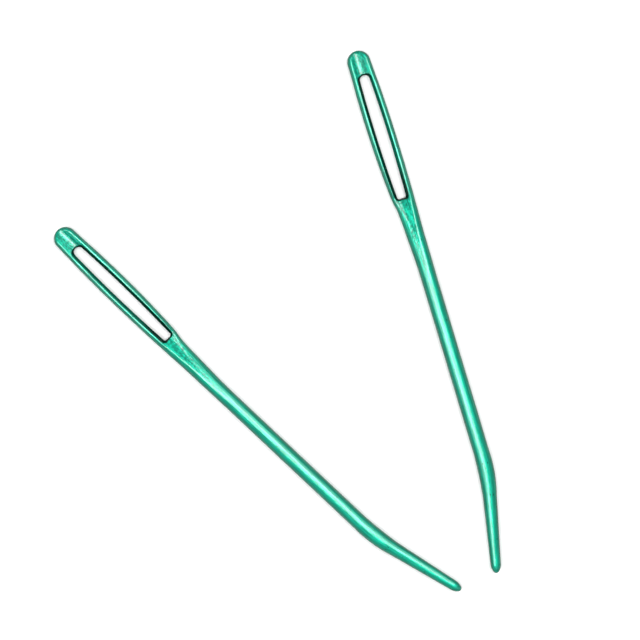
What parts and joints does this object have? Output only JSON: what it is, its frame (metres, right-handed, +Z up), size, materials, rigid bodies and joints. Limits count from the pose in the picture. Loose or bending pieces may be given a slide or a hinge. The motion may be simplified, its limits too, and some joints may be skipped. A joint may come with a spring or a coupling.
{
  "type": "yarn needle",
  "caption": "Slim bent-tip yarn needles lying side by side, each a round metal rod with a flattened, grooved head, a long narrow eye and a gently angled, blunt point.",
  "frame": {"origin": "on the surface that the needles lie on, at the middle of the pair's box in plan", "axes": "+Z up from the surface, +Y towards the eye end of the steeper, right-hand needle, +X towards the right-hand needle"},
  "size_m": [0.063, 0.0762, 0.0023],
  "materials": {
    "green_anodised_aluminium": "bright green dyed anodised metal with fine lengthwise draw marks and a mottled sheen in the troughs"
  },
  "bodies": {
    "left_needle": {"needle_left": "green_anodised_aluminium"},
    "right_needle": {"needle_right": "green_anodised_aluminium"}
  },
  "joints": [
    {"name": "right_needle_lift", "type": "slide", "parent": "left_needle", "child": "right_needle", "axis": [0, 0, 1], "range_m": [0, 0.03]}
  ]
}
